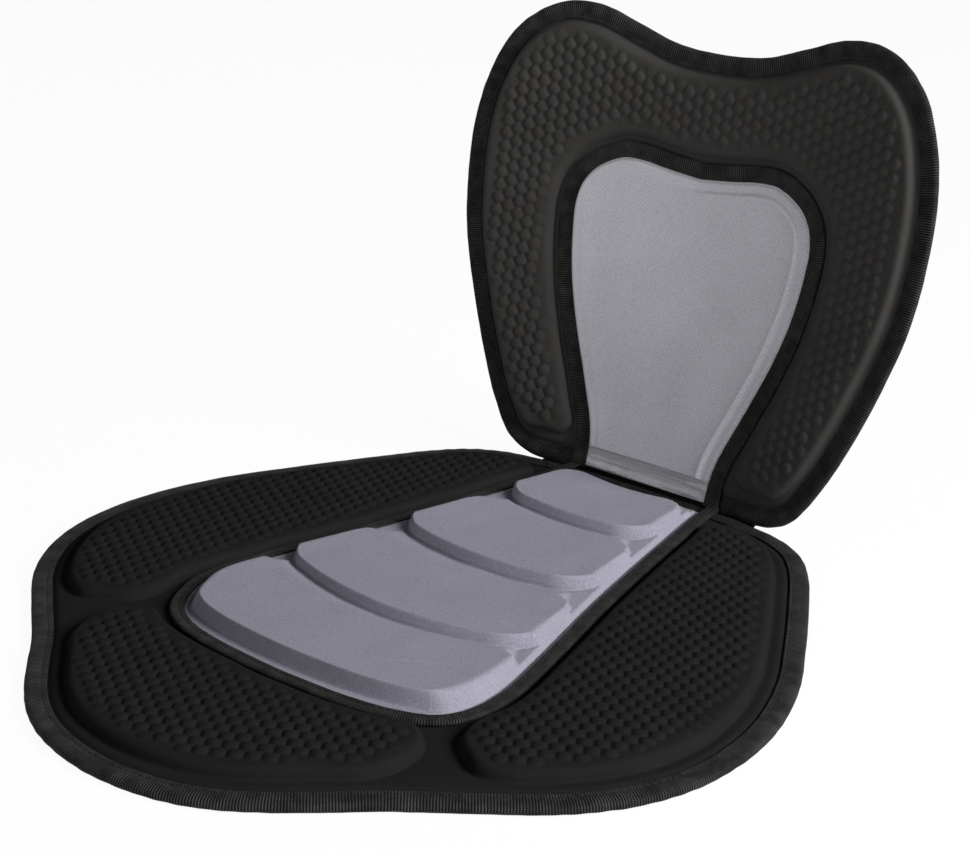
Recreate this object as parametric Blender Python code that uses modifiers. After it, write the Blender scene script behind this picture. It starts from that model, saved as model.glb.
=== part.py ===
"""A kayak seat: a flat moulded seat with a low upright back, sewn together along their hinge.

Metres, +Z up, +Y towards the back. The origin is on the underside, in the middle of the seat.
Both halves are sandwiches of sheets whose rims are pinched thin and wrapped in ribbed tape. The
front sheets are moulded with raised pads covered in small domes, and a grey insert is sewn in
the middle of each: four stepped bars on the seat, a smooth shield on the back. The layers of the
back are laid out flat, then curved and leaned back together.
"""

import math

import bmesh
import bpy
import numpy as np

MM = 0.001

# Main sizes
SEAT_WIDTH = 430 * MM
SEAT_LENGTH = 448 * MM          # forward of the hinge line
BACK_WIDTH = 319 * MM
BACK_HEIGHT = 282.5 * MM        # along the back, from its lowest edge
SEAT_SHARE = np.array([SEAT_WIDTH / (430 * MM), SEAT_LENGTH / (448 * MM)])
BACK_SHARE = np.array([BACK_WIDTH / (319 * MM), BACK_HEIGHT / (282.5 * MM)])

# Overall placing
SEAT_MIDDLE = 232 * MM * SEAT_SHARE[1]      # from the hinge line forward to the origin
BACK_TILT = math.radians(15.5)  # lean of the back at its foot
BACK_FOOT_Y = 0 * MM            # rear face of the back at the hinge line
BACK_FOOT_Z = 2 * MM            # lowest edge of the back above the ground
BACK_CURVE_SIDE = 0.52          # radius of the back across
BACK_CURVE_UP = 1.48            # radius of the back up its height
STATION_X = 40 * MM             # flats that the curved back is made of, across
STATION_V = 70 * MM             # and up its height

# Sheets and clearances
GAP = 0.3 * MM                  # between touching layers
TAPE = 0.9 * MM                 # edge tape thickness
TAPE_WIDTH = 11 * MM            # edge tape lip seen from the front
COVER = 1.2 * MM                # underside and rear cover sheets
COVER_RIM = 0.9 * MM            # the same, where they are pinched
PANEL_RIM = 1.6 * MM            # moulded sheets where they are pinched
SEAT_SHEET = 4.0 * MM           # moulded seat sheet between the pads
BACK_SHEET = 2.8 * MM           # moulded back sheet between the pads
BOARD = 2.0 * MM                # stiffening board in the back
BOARD_INSET = 20 * MM
FLAP = 1.0 * MM                 # hinge flap
FLAP_HEIGHT = 24 * MM
FLAP_HALF_WIDTH = 78 * MM * BACK_SHARE[0]

# Raised pads
PAD_RISE = 6.0 * MM
PAD_ROUND = 4.5 * MM            # shoulder radius
SEAT_PAD_INSET = 19 * MM        # pad foot inside the seat's outer edge
BACK_PAD_INSET = 13.5 * MM      # pad foot inside the back's outer edge
INSERT_TO_PAD = 3 * MM          # pad foot outside the insert's tape
SIDE_PAD_FRONT = -337 * MM * SEAT_SHARE[1]      # forward end of the side pads
SIDE_PAD_REAR = 100 * MM * SEAT_SHARE[0]        # outer rear corner of the side pads, across
REAR_FLAT = 80 * MM * SEAT_SHARE[0]     # half of the rear edge that lies along the back's foot
BACK_PAD_FOOT = 17 * MM         # lower end of the back pad's legs
DOME_PITCH = 8.0 * MM
DOME_RISE = 1.3 * MM
DOME_MARGIN = 9 * MM            # pad foot to the first domes

# Grey inserts
INSERT_TAPE = 0.6 * MM
INSERT_TAPE_WIDTH = 7.5 * MM
SHIELD_TAPE_WIDTH = 10 * MM
FLANGE = 0.9 * MM
PLINTH_RISE = 2.4 * MM          # the seat insert's floor above its flange
PLINTH_SLOPE = 4.0 * MM
BAR_RISE = 7.0 * MM             # bar crest above the floor
BAR_FALL = 3.7 * MM             # how much lower a bar's rear edge is
BAR_SIDE = 10.5 * MM            # insert edge to the end of a bar
BAR_ROUND = 3.0 * MM
FRONT_BOWS = [0.34, 0.19, 0.19, 0.19]   # radii of the bars' front edges
REAR_BOW = 0.19                 # radius of their rear edges
FRONT_CORNERS = [24 * MM, 11 * MM, 11 * MM, 11 * MM]
REAR_CORNER = 11 * MM
SHIELD_RISE = 5.3 * MM          # shield above its flange
SHIELD_SLOPE = 6.5 * MM
SHIELD_FOOT = 16 * MM           # lower edge of the shield above the back's lowest edge
STRIP_FOOT = 5.0 * MM           # lower edge of the grey strip below the shield

# Half outlines in millimetres at the main sizes above: across and ahead of the hinge line
# (negative is forward) for the seat, across and up for the back.
SEAT_SIDE = [(103, -17), (121, -28), (137, -47), (160, -87), (181, -127), (200, -167),
             (212, -208), (215, -243), (211, -276), (199, -306), (179, -333), (150, -358),
             (119, -383), (99, -402), (80, -419), (60, -433), (36, -443), (0, -448)]
INSERT_SIDE = [(0, -337.5), (48, -334.5), (77, -328), (95, -318.5), (104.5, -300), (106, -275),
               (98, -232), (84, -172), (72.5, -115), (63, -62), (57.5, -30), (54, 0), (52, 30)]
BACK_SIDE = [(0, 0), (59, 0), (87, 1), (103.5, 9), (118, 30), (132, 60), (145.5, 97), (155.5, 133),
             (159.5, 171), (158.5, 205.5), (151.5, 235.5), (139.5, 259), (122, 275),
             (102.5, 282.5), (80.5, 282), (57, 275), (29.5, 267), (0, 265)]
SHIELD_SIDE = [(0, 201.5), (20, 203.5), (40, 206), (55, 205.5), (68, 200.5), (80, 192), (88.5, 180),
               (92.3, 165), (92, 148), (87.5, 117), (78.5, 86), (65.5, 52), (55.5, 24), (53.5, 0),
               (53, -30)]
BAR_FRONTS = [-325.5, -257, -175.5, -94.5]
BAR_REARS = [-266, -190, -105, -25]

# How finely the outlines are divided
SEAT_EDGE_POINTS = 52
BACK_EDGE_POINTS = 50
INSERT_EDGE_POINTS = 31
PAD_POINTS = 26
ARCH_POINTS = 60
BAR_POINTS = 24

# Heights that follow from the sheets
COVER_RIM_Z = TAPE + GAP
PANEL_RIM_Z = COVER_RIM_Z + COVER_RIM + GAP
RIM_TOP = PANEL_RIM_Z + PANEL_RIM + GAP + TAPE
SEAT_PANEL_Z = COVER + GAP
SEAT_TOP = SEAT_PANEL_Z + SEAT_SHEET
BACK_PANEL_Z = COVER + GAP + BOARD + GAP
BACK_TOP = BACK_PANEL_Z + BACK_SHEET
TAPE_SLOT = TAPE + GAP          # the sheets' edges inside the tape's outer edge
LIP_END = TAPE_WIDTH + 2 * GAP
FLANGE_RISE = INSERT_TAPE + GAP + FLANGE


def smooth_path(points, closed, per_span=12):
    """Many points on a curve through the given ones, which keep their places."""
    pts = np.array(points, float)
    count = len(pts)
    out = []
    for i in range(count if closed else count - 1):
        if closed:
            p0, p1, p2, p3 = (pts[(i + k) % count] for k in (-1, 0, 1, 2))
        else:
            p1, p2 = pts[i], pts[i + 1]
            p0 = pts[i - 1] if i else 2 * p1 - p2
            p3 = pts[i + 2] if i + 2 < count else 2 * p2 - p1
        knots = [0.0]
        for a, b in ((p0, p1), (p1, p2), (p2, p3)):
            knots.append(knots[-1] + math.sqrt(math.dist(a, b)))
        t0, t1, t2, t3 = knots
        for t in np.linspace(t1, t2, per_span, endpoint=False):
            a1 = (p0 * (t1 - t) + p1 * (t - t0)) / (t1 - t0)
            a2 = (p1 * (t2 - t) + p2 * (t - t1)) / (t2 - t1)
            a3 = (p2 * (t3 - t) + p3 * (t - t2)) / (t3 - t2)
            b1 = (a1 * (t2 - t) + a2 * (t - t0)) / (t2 - t0)
            b2 = (a2 * (t3 - t) + a3 * (t - t1)) / (t3 - t1)
            out.append((b1 * (t2 - t) + b2 * (t - t1)) / (t2 - t1))
    if not closed:
        out.append(pts[-1])
    return np.array(out)


def spaced(path, closed, count, turn_length=60 * MM):
    """The path again with this many points, closer together where it turns."""
    count = round(count)
    pts = np.vstack([path, path[:1]]) if closed else path
    steps = np.diff(pts, axis=0)
    heading = np.unwrap(np.arctan2(steps[:, 1], steps[:, 0]))
    turns = np.abs(np.diff(heading, append=heading[-1]))
    weight = np.concatenate([[0], np.cumsum(np.hypot(*steps.T) + turn_length * turns)])
    wanted = np.linspace(0, weight[-1], count + 1 if closed else count)
    out = np.stack([np.interp(wanted, weight, pts[:, k]) for k in (0, 1)], axis=1)
    return out[:-1] if closed else out


def counter_clockwise(path):
    x, y = path.T
    area = np.sum(x * np.roll(y, -1) - y * np.roll(x, -1))
    return path if area > 0 else path[::-1]


def mirrored(side):
    """A whole outline, counter-clockwise, from a half that starts and ends at x = 0."""
    side = np.array(side, float)
    return counter_clockwise(np.vstack([side, side[-2:0:-1] * [-1, 1]]))


def end_to_end(side):
    """A half path that starts at x = 0, made whole: its end, its middle, its mirrored end."""
    return np.vstack([side[:0:-1], side * [-1, 1]])


def inset(path, distance, closed=True):
    """The path moved to its left, which is inwards on a counter-clockwise outline."""
    if closed:
        ahead, behind = np.roll(path, -1, axis=0), np.roll(path, 1, axis=0)
    else:
        ahead = np.vstack([path[1:], 2 * path[-1:] - path[-2:-1]])
        behind = np.vstack([2 * path[:1] - path[1:2], path[:-1]])
    along = ahead - behind
    along /= np.linalg.norm(along, axis=1)[:, None]
    return path + distance * np.stack([-along[:, 1], along[:, 0]], axis=1)


def pad_outline(edges, corner, pitch, count):
    """A closed outline along these edges in turn, rounded where one meets the next."""
    loop = []
    for edge in edges:
        lengths = np.concatenate([[0], np.cumsum(np.hypot(*np.diff(edge, axis=0).T))])
        steps = max(2, round((lengths[-1] - 2 * corner) / pitch) + 1)
        for s in np.linspace(corner, lengths[-1] - corner, steps):
            loop.append([np.interp(s, lengths, edge[:, k]) for k in (0, 1)])
    return spaced(counter_clockwise(smooth_path(loop, True)), True, count, 40 * MM)


def straight(a, b):
    return np.linspace(a, b, 9)


def cut_across(mesh, xs, ys):
    """Edges along these lines over the large flat faces, so that they can bend there."""
    for face in mesh.faces:
        face.material_index = len(face.verts) > 8
    for values, normal in ((xs, (1, 0, 0)), (ys, (0, 1, 0))):
        for value in values:
            flats = [f for f in mesh.faces if f.material_index]
            edges = list({e for f in flats for e in f.edges})
            verts = list({v for f in flats for v in f.verts})
            bmesh.ops.bisect_plane(mesh, geom=verts + edges + flats, dist=1e-7,
                                   plane_co=[value * n for n in normal], plane_no=normal)
    for face in mesh.faces:
        face.material_index = 0


def trim(mesh, place, normal):
    """Takes off what lies ahead of the plane, and closes the cut."""
    made = bmesh.ops.bisect_plane(mesh, geom=mesh.verts[:] + mesh.edges[:] + mesh.faces[:],
                                  dist=1e-7, plane_co=place, plane_no=normal, clear_outer=True)
    edges = [e for e in made["geom_cut"] if isinstance(e, bmesh.types.BMEdge)]
    bmesh.ops.edgeloop_fill(mesh, edges=edges)


def layered(outline, profile):
    """A solid whose wall steps through (inset, height) pairs, with flat faces at both ends."""
    mesh = bmesh.new()
    rings = []
    for distance, height in profile:
        ring = inset(outline, distance)
        rings.append([mesh.verts.new((x, y, height)) for x, y in ring])
    for low, high in zip(rings, rings[1:]):
        for i in range(len(low)):
            j = (i + 1) % len(low)
            mesh.faces.new((low[i], low[j], high[j], high[i]))
    mesh.faces.new(rings[0][::-1])
    mesh.faces.new(rings[-1])
    return mesh


def swept(path, section, closed):
    """A strip of this (inset, height) section along the path."""
    mesh = bmesh.new()
    rails = [inset(path, distance, closed) for distance, _ in section]
    rows = [[mesh.verts.new((*rail[i], height)) for rail, (_, height) in zip(rails, section)]
            for i in range(len(path))]
    pairs = list(zip(rows, rows[1:]))
    if closed:
        pairs.append((rows[-1], rows[0]))
    for here, there in pairs:
        for k in range(len(section)):
            m = (k + 1) % len(section)
            mesh.faces.new((here[k], there[k], there[m], here[m]))
    if not closed:
        mesh.faces.new(rows[0][::-1])
        mesh.faces.new(rows[-1])
    return mesh


def tape_section(base, top, thickness, width):
    """A strip folded round an edge: its upper lip, its rounded nose and its lower lip."""
    middle = (base + top) / 2
    slot = thickness + GAP
    return [(width, base), (0.35 * (middle - base), base), (0, middle),
            (0.35 * (top - middle), top), (width, top), (width, top - thickness),
            (slot, top - thickness), (slot, base + thickness), (width, base + thickness)]


def inside(outline, points):
    """Which points lie inside the outline."""
    hit = np.zeros(len(points), bool)
    for (x1, y1), (x2, y2) in zip(outline, np.roll(outline, -1, axis=0)):
        if y1 == y2:
            continue
        crosses = (y1 > points[:, 1]) != (y2 > points[:, 1])
        at = x1 + (points[:, 1] - y1) * (x2 - x1) / (y2 - y1)
        hit ^= crosses & (points[:, 0] < at)
    return hit


def dome_field(outline, height):
    """Close-packed six-sided domes wherever a whole dome fits inside the outline."""
    row = DOME_PITCH / 2
    column = DOME_PITCH * math.sqrt(3) / 2
    reach = DOME_PITCH / math.sqrt(3)
    low, high = outline.min(axis=0), outline.max(axis=0)
    places = np.array([(i * column, j * row)
                       for i in range(math.floor(low[0] / column), math.ceil(high[0] / column) + 1)
                       for j in range(math.floor(low[1] / row), math.ceil(high[1] / row) + 1)
                       if (i + j) % 2 == 0])
    corners = [(reach * math.cos(k * math.pi / 3), reach * math.sin(k * math.pi / 3))
               for k in range(6)]
    whole = np.ones(len(places), bool)
    for corner in corners:
        whole &= inside(outline, places + np.array(corner))
    mesh = bmesh.new()
    shared = {}

    def crease_corner(x, y):
        key = (round(4 * x / reach), round(4 * y / row))
        if key not in shared:
            shared[key] = mesh.verts.new((x, y, height))
        return shared[key]

    for x, y in places[whole]:
        top = mesh.verts.new((x, y, height + DOME_RISE))
        ring = [crease_corner(x + cx, y + cy) for cx, cy in corners]
        for k in range(6):
            mesh.faces.new((ring[k], ring[(k + 1) % 6], top))
    sheet = mesh.faces[:]
    grown = bmesh.ops.extrude_face_region(mesh, geom=sheet)
    under = {v for v in grown["geom"] if isinstance(v, bmesh.types.BMVert)}
    for vert in under:
        vert.co.z = height - PAD_RISE / 3
    floor = [f for f in mesh.faces if all(v in under for v in f.verts)]
    bmesh.ops.dissolve_faces(mesh, faces=floor)
    return mesh


def across_fall(values, radius, station):
    """How far the curved back comes forward, in flats between the stations."""
    stations = np.arange(-12, 13) * station
    return np.interp(values, stations, stations ** 2 / (2 * radius))


def onto_back(points):
    """Flat (across, up, out) places moved onto the curved, leaning back."""
    x, v, w = np.asarray(points, float).T
    out = w + across_fall(x, BACK_CURVE_SIDE, STATION_X) + across_fall(v, BACK_CURVE_UP, STATION_V)
    y = BACK_FOOT_Y + v * math.sin(BACK_TILT) - out * math.cos(BACK_TILT)
    z = BACK_FOOT_Z + v * math.cos(BACK_TILT) + out * math.sin(BACK_TILT)
    return np.stack([x, y, z], axis=1)


def seat_rear(x):
    """The seat's rear edge follows the foot of the back, a clearance in front of it."""
    return onto_back([(x, 0, RIM_TOP)])[0][1] - GAP


def lean(obj):
    """Bends a flat piece onto the back."""
    flat = np.empty(len(obj.data.vertices) * 3)
    obj.data.vertices.foreach_get("co", flat)
    obj.data.vertices.foreach_set("co", onto_back(flat.reshape(-1, 3)).reshape(-1))
    obj.data.update()


def material(name, colour, roughness):
    made = bpy.data.materials.new(name)
    made.use_nodes = True
    shader = made.node_tree.nodes["Principled BSDF"]
    shader.inputs["Base Color"].default_value = (*colour, 1)
    shader.inputs["Roughness"].default_value = roughness
    shader.inputs["Metallic"].default_value = 0
    made.diffuse_color = (*colour, 1)
    return made


def add_object(name, mesh, look, collection):
    bmesh.ops.recalc_face_normals(mesh, faces=mesh.faces)
    data = bpy.data.meshes.new(name)
    mesh.to_mesh(data)
    mesh.free()
    data.materials.append(look)
    obj = bpy.data.objects.new(name, data)
    collection.objects.link(obj)
    obj.location = (0, SEAT_MIDDLE, 0)
    return obj


def union(target, tools):
    """Joins the tool objects to the target for good."""
    for tool in tools:
        modifier = target.modifiers.new("join " + tool.name, "BOOLEAN")
        modifier.operation = "UNION"
        modifier.solver = "EXACT"
        modifier.object = tool
    graph = bpy.context.evaluated_depsgraph_get()
    joined = bpy.data.meshes.new_from_object(target.evaluated_get(graph))
    target.modifiers.clear()
    target.data = joined
    for tool in tools:
        bpy.data.objects.remove(tool)


def cover_profile():
    rim = COVER_RIM_Z + COVER_RIM
    return [(LIP_END + 2 * MM, 0), (LIP_END, COVER_RIM_Z), (TAPE_SLOT + GAP, COVER_RIM_Z),
            (TAPE_SLOT + GAP, rim), (LIP_END + 2 * MM, COVER)]


def panel_profile(base, pocket, top):
    rim = PANEL_RIM_Z + PANEL_RIM
    return [(pocket + 1.9 * MM, base), (pocket, PANEL_RIM_Z), (TAPE_SLOT + GAP, PANEL_RIM_Z),
            (TAPE_SLOT + GAP, rim), (LIP_END, rim), (LIP_END + 2.2 * MM, top)]


def pad_profile(top):
    """A pad's wall, from inside the sheet to its rounded shoulder."""
    shoulder = top + PAD_RISE
    return [(0, top - 1.5 * MM), (0.5 * MM, shoulder - PAD_ROUND),
            (0.5 * MM + 0.2 * PAD_ROUND, shoulder - 0.4 * PAD_ROUND),
            (0.5 * MM + PAD_ROUND, shoulder)]


def insert_section(base, width):
    return tape_section(base, base + FLANGE_RISE + GAP + INSERT_TAPE, INSERT_TAPE, width)


def insert_profile(base, width, slope, rise):
    """The insert's edge, flat inside its tape, then its flange and the slope to its face."""
    rim = base + INSERT_TAPE + GAP
    start = width + 2 * GAP
    edge = INSERT_TAPE + 2 * GAP
    return [(start + 2 * MM, base), (start, rim), (edge, rim), (edge, rim + FLANGE),
            (start + 1 * MM, rim + FLANGE), (start + 1 * MM + slope, rim + FLANGE + rise)]


# Outlines
rear_edge = [(x, seat_rear(x)) for x in (0, 0.5 * REAR_FLAT, REAR_FLAT)]
seat_half = np.vstack([rear_edge, np.array(SEAT_SIDE) * MM * SEAT_SHARE])
seat_curve = smooth_path(mirrored(seat_half), True)
seat_outline = spaced(seat_curve, True, SEAT_EDGE_POINTS)
back_curve = smooth_path(mirrored(np.array(BACK_SIDE) * MM * BACK_SHARE), True)
back_outline = spaced(back_curve, True, BACK_EDGE_POINTS)
insert_side = smooth_path(INSERT_SIDE, False) * MM * SEAT_SHARE
shield_side = smooth_path(SHIELD_SIDE, False) * MM * BACK_SHARE
insert_end = seat_rear(INSERT_SIDE[-2][0] * MM * SEAT_SHARE[0]) - 1.5 * MM

# Pad outlines: the outer edge counter-clockwise, then back along the insert
def offset(point, across, ahead):
    return np.array(point) + np.array([across, ahead]) * MM


seat_pad_edge = inset(seat_curve, SEAT_PAD_INSET)
beside_insert = inset(end_to_end(insert_side)[::-1], -INSERT_TO_PAD, False)
pad_rear = seat_rear(REAR_FLAT) - SEAT_PAD_INSET
side_outer = np.array([p for p in seat_pad_edge
                       if p[0] > SIDE_PAD_REAR and p[1] > SIDE_PAD_FRONT])
side_inner = np.array([p for p in beside_insert
                       if p[0] > 0 and SIDE_PAD_FRONT + 30 * MM < p[1] < pad_rear - 4 * MM])
side_rear = straight(offset(side_outer[-1], -6, 4), offset(side_inner[-1], 7, 4))
side_front = np.array([side_inner[0], offset(side_inner[0], 5, -17),
                       offset(side_inner[0], 21, -31), offset(side_outer[0], -9, -4)])
side_pad = pad_outline([side_outer, side_rear, side_inner[::-1], side_front], 4 * MM, 15 * MM,
                       PAD_POINTS)
front_end = side_inner[0][0]
front_outer = np.array([p for p in seat_pad_edge
                        if abs(p[0]) < front_end - 2 * MM and p[1] < SIDE_PAD_FRONT])
front_inner = np.array([p for p in beside_insert
                        if abs(p[0]) < front_end - 12 * MM and p[1] < SIDE_PAD_FRONT + 30 * MM])
front_right = straight(offset(front_outer[-1], 3, 8), offset(front_inner[-1], 9, -9))
front_left = front_right[::-1] * [-1, 1]
front_pad = pad_outline([front_outer, front_right, front_inner[::-1], front_left], 5 * MM,
                        15 * MM, PAD_POINTS)

arch_outer = np.array([p for p in inset(back_curve, BACK_PAD_INSET)
                       if p[1] > BACK_PAD_FOOT + 12 * MM])
arch_inner = np.array([p for p in inset(end_to_end(shield_side), -INSERT_TO_PAD, False)
                       if p[1] > BACK_PAD_FOOT + 5 * MM])[::-1]
left_foot = straight(offset(arch_outer[-1], 8, -11), offset(arch_inner[0], -3, -4))
right_foot = left_foot[::-1] * [-1, 1]
arch_pad = pad_outline([arch_outer, left_foot, arch_inner, right_foot], 4 * MM, 16 * MM,
                       ARCH_POINTS)

# Scene, collections and looks
for old in list(bpy.data.objects):
    bpy.data.objects.remove(old)
kayak_seat = bpy.data.collections.new("kayak_seat")
bpy.context.scene.collection.children.link(kayak_seat)
joined = bpy.data.collections.new("joined_pieces")
bpy.context.scene.collection.children.link(joined)

black_foam = material("black_moulded_cloth", (0.012, 0.011, 0.011), 0.75)
black_tape = material("black_ribbed_tape", (0.008, 0.008, 0.008), 0.6)
black_cover = material("black_cover_cloth", (0.010, 0.010, 0.011), 0.9)
grey_cloth = material("grey_moulded_cloth", (0.30, 0.29, 0.33), 0.8)
stiff_board = material("stiff_board", (0.05, 0.05, 0.05), 0.5)

station_xs = [k * STATION_X for k in range(-4, 5)]
station_vs = [k * STATION_V for k in range(1, 5)]


def seat_piece(name, mesh, look):
    return add_object(name, mesh, look, kayak_seat)


def back_piece(name, mesh, look):
    cut_across(mesh, station_xs, station_vs)
    obj = add_object(name, mesh, look, kayak_seat)
    lean(obj)
    return obj


# Edge tapes, underside cover, rear cover and the board sealed inside the back
edge_section = tape_section(0, RIM_TOP, TAPE, TAPE_WIDTH)
seat_piece("seat_edge_binding", swept(seat_outline, edge_section, True), black_tape)
back_piece("back_edge_binding", swept(back_outline, edge_section, True), black_tape)
seat_piece("seat_underside_cover", layered(seat_outline, cover_profile()), black_cover)
back_piece("back_rear_cover", layered(back_outline, cover_profile()), black_cover)
board_outline = spaced(inset(back_curve, BOARD_INSET), True, 26)
board_profile = [(0, COVER + GAP), (0, COVER + GAP + BOARD)]
back_piece("back_stiffener", layered(board_outline, board_profile), stiff_board)

# Black moulded sheets with their pads
sheet = layered(seat_outline, panel_profile(SEAT_PANEL_Z, LIP_END + 2 * MM, SEAT_TOP))
seat_panel = seat_piece("seat_panel", sheet, black_foam)
tools = []
for outline in (side_pad, counter_clockwise(side_pad * [-1, 1]), front_pad):
    pad = layered(outline, pad_profile(SEAT_TOP))
    domes = dome_field(inset(outline, DOME_MARGIN), SEAT_TOP + PAD_RISE)
    tools.append(add_object("pad", pad, black_foam, joined))
    tools.append(add_object("domes", domes, black_foam, joined))
union(seat_panel, tools)

sheet = layered(back_outline, panel_profile(BACK_PANEL_Z, BOARD_INSET - 3 * MM, BACK_TOP))
cut_across(sheet, station_xs, station_vs)
back_panel = seat_piece("back_panel", sheet, black_foam)
pad = layered(arch_pad, pad_profile(BACK_TOP))
cut_across(pad, station_xs, station_vs)
domes = dome_field(inset(arch_pad, DOME_MARGIN), BACK_TOP + PAD_RISE)
union(back_panel, [add_object("pad", pad, black_foam, joined),
                   add_object("domes", domes, black_foam, joined)])
lean(back_panel)

# Grey seat insert: a flanged plinth, cut off at the hinge, and four bars
insert_z = SEAT_TOP + GAP
floor_z = insert_z + FLANGE_RISE + PLINTH_RISE
insert_path = spaced(end_to_end(insert_side)[::-1], False, INSERT_EDGE_POINTS)
plinth = layered(insert_path, insert_profile(insert_z, INSERT_TAPE_WIDTH, PLINTH_SLOPE, PLINTH_RISE))
trim(plinth, (0, insert_end, 0), (0, 1, 0))
seat_insert = seat_piece("seat_insert", plinth, grey_cloth)
side_at = insert_side[np.argsort(insert_side[:, 1])]
bars = []
for front, rear, bow, corner in zip(BAR_FRONTS, BAR_REARS, FRONT_BOWS, FRONT_CORNERS):
    front, rear = np.array([front, rear]) * MM * SEAT_SHARE[1]
    front_half = np.interp(front + 2 * corner, side_at[:, 1], side_at[:, 0]) - BAR_SIDE
    rear_half = np.interp(rear + REAR_CORNER, side_at[:, 1], side_at[:, 0]) - BAR_SIDE
    half = [(0, front)]
    for share in (0.4, 0.75):
        half.append((share * front_half, front + (share * front_half) ** 2 / (2 * bow)))
    turn = front_half - 0.5 * corner
    end = front + turn ** 2 / (2 * bow)
    half += [(turn, end), (front_half, end + 0.9 * corner)]
    end = rear + rear_half ** 2 / (2 * REAR_BOW)
    half += [(rear_half, end - REAR_CORNER), (rear_half - REAR_CORNER, end - 0.15 * REAR_CORNER)]
    half += [(0.5 * rear_half, rear + (0.5 * rear_half) ** 2 / (2 * REAR_BOW)), (0, rear)]
    outline = mirrored(half)
    outline = spaced(smooth_path(outline, True), True, BAR_POINTS, 40 * MM)
    crest = floor_z + BAR_RISE
    bar = layered(outline, [(0, insert_z + INSERT_TAPE + 2 * GAP), (0.4 * MM, crest - BAR_ROUND),
                            (0.4 * MM + 0.25 * BAR_ROUND, crest - 0.35 * BAR_ROUND),
                            (0.4 * MM + BAR_ROUND, crest)])
    for vert in bar.verts:
        if vert.co.z > floor_z - 1 * MM:
            vert.co.z -= BAR_FALL * (vert.co.y - front) / (rear - front)
    bars.append(add_object("bar", bar, grey_cloth, joined))
union(seat_insert, bars)
tape = swept(insert_path, insert_section(insert_z, INSERT_TAPE_WIDTH), False)
trim(tape, (0, insert_end, 0), (0, 1, 0))
seat_piece("seat_insert_binding", tape, black_tape)

# Grey back insert: a flange that runs on down as a strip, and the raised shield
insert_z = BACK_TOP + GAP
shield_path = spaced(end_to_end(shield_side), False, INSERT_EDGE_POINTS)
flange = layered(shield_path, insert_profile(insert_z, SHIELD_TAPE_WIDTH, 0.2 * MM, 0.2 * MM))
trim(flange, (0, STRIP_FOOT, 0), (0, -1, 0))
cut_across(flange, station_xs, station_vs)
back_insert = seat_piece("back_insert", flange, grey_cloth)
face = insert_z + FLANGE_RISE
around = inset(end_to_end(shield_side), SHIELD_TAPE_WIDTH + 4 * GAP, False)
around = np.array([p for p in around if p[1] > SHIELD_FOOT + 3 * MM])
foot = straight((around[-1][0] + 2 * MM, SHIELD_FOOT), (-around[-1][0] - 2 * MM, SHIELD_FOOT))
shield_outline = pad_outline([around, foot], 3 * MM, 14 * MM, 36)
shield = layered(shield_outline, [(0, face - FLANGE / 2), (0, face),
                                  (0.45 * SHIELD_SLOPE, face + 0.7 * SHIELD_RISE),
                                  (SHIELD_SLOPE, face + SHIELD_RISE)])
cut_across(shield, station_xs, station_vs)
union(back_insert, [add_object("shield", shield, grey_cloth, joined)])
lean(back_insert)
tape = swept(shield_path, insert_section(insert_z, SHIELD_TAPE_WIDTH), False)
trim(tape, (0, STRIP_FOOT, 0), (0, -1, 0))
back_piece("back_insert_binding", tape, black_tape)

# Hinge flap: sewn to the seat's rear edge, under the foot of the back and up behind it
flap = bmesh.new()
columns = []
middle = GAP + FLAP / 2
count = math.floor(FLAP_HALF_WIDTH / STATION_X)
across = ([-FLAP_HALF_WIDTH] + [k * STATION_X for k in range(-count, count + 1)]
          + [FLAP_HALF_WIDTH])
for x in across:
    low = onto_back([(x, -middle, 0), (x, -middle / 2, -middle), (x, FLAP_HEIGHT, -middle)])
    start = (x, seat_rear(x) + middle, low[0][2])
    columns.append([flap.verts.new(p) for p in (start, *low)])
for left, right in zip(columns, columns[1:]):
    for k in range(len(left) - 1):
        flap.faces.new((left[k], right[k], right[k + 1], left[k + 1]))
hinge_flap = seat_piece("hinge_flap", flap, black_cover)
thicken = hinge_flap.modifiers.new("cloth", "SOLIDIFY")
thicken.thickness = FLAP
thicken.offset = 0
thicken.use_even_offset = True

for obj in kayak_seat.objects:
    obj.data.shade_smooth()
    obj.data.set_sharp_from_angle(angle=math.radians(35))
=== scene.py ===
"""The looks of a kayak seat: moulded cloth pads with domes, stepped grey bars, ribbed tape."""

import math

import bpy
import numpy as np
from mathutils import Matrix, Vector, kdtree
from mathutils.geometry import delaunay_2d_cdt


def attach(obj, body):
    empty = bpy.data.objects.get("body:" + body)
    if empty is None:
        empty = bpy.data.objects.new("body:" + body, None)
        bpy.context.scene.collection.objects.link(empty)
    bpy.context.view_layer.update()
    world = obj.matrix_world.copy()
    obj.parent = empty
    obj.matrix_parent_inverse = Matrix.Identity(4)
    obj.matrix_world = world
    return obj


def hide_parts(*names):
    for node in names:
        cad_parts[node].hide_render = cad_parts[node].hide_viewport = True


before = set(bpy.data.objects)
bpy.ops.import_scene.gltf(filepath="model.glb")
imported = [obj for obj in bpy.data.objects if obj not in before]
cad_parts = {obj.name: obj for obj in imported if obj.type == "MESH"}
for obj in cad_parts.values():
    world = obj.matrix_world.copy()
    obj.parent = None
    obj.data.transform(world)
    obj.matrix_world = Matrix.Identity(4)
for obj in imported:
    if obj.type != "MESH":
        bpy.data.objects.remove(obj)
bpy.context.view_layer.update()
MM = 0.001

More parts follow.
